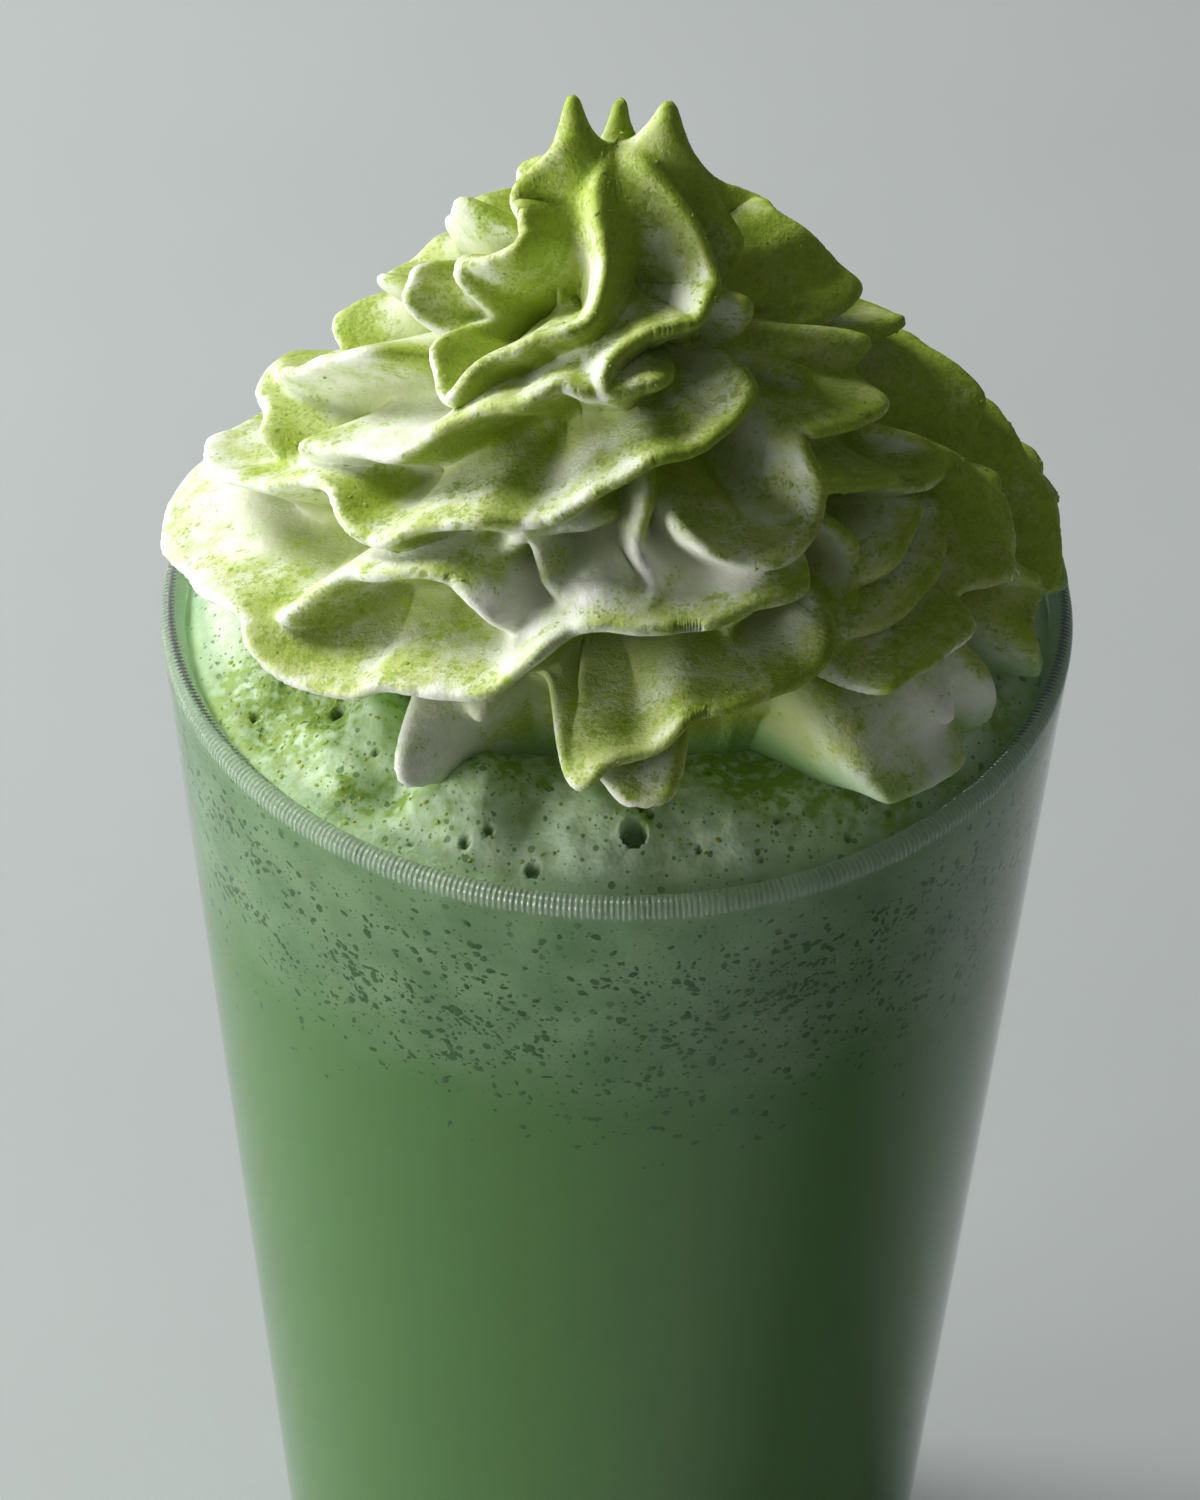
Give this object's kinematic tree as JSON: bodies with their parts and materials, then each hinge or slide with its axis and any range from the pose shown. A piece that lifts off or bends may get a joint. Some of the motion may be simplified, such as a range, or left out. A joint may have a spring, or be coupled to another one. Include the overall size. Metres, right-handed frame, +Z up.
{
  "type": "mint milkshake",
  "caption": "Mint milkshake in a tall conical glass, with froth on the drink and a piped swirl of whipped cream standing over the rim.",
  "frame": {"origin": "centre of the glass's foot, on the plane it stands on", "axes": "+Z up along the glass's axis, -Y towards the side that faces the viewer"},
  "size_m": [0.0878, 0.0878, 0.2098],
  "materials": {
    "glass": "gloss",
    "milkshake": "satin",
    "froth": "matte",
    "cream": "matte"
  },
  "bodies": {
    "root": {"glass": "glass", "milkshake": "milkshake", "froth": "froth", "whipped_cream": "cream"}
  },
  "joints": []
}
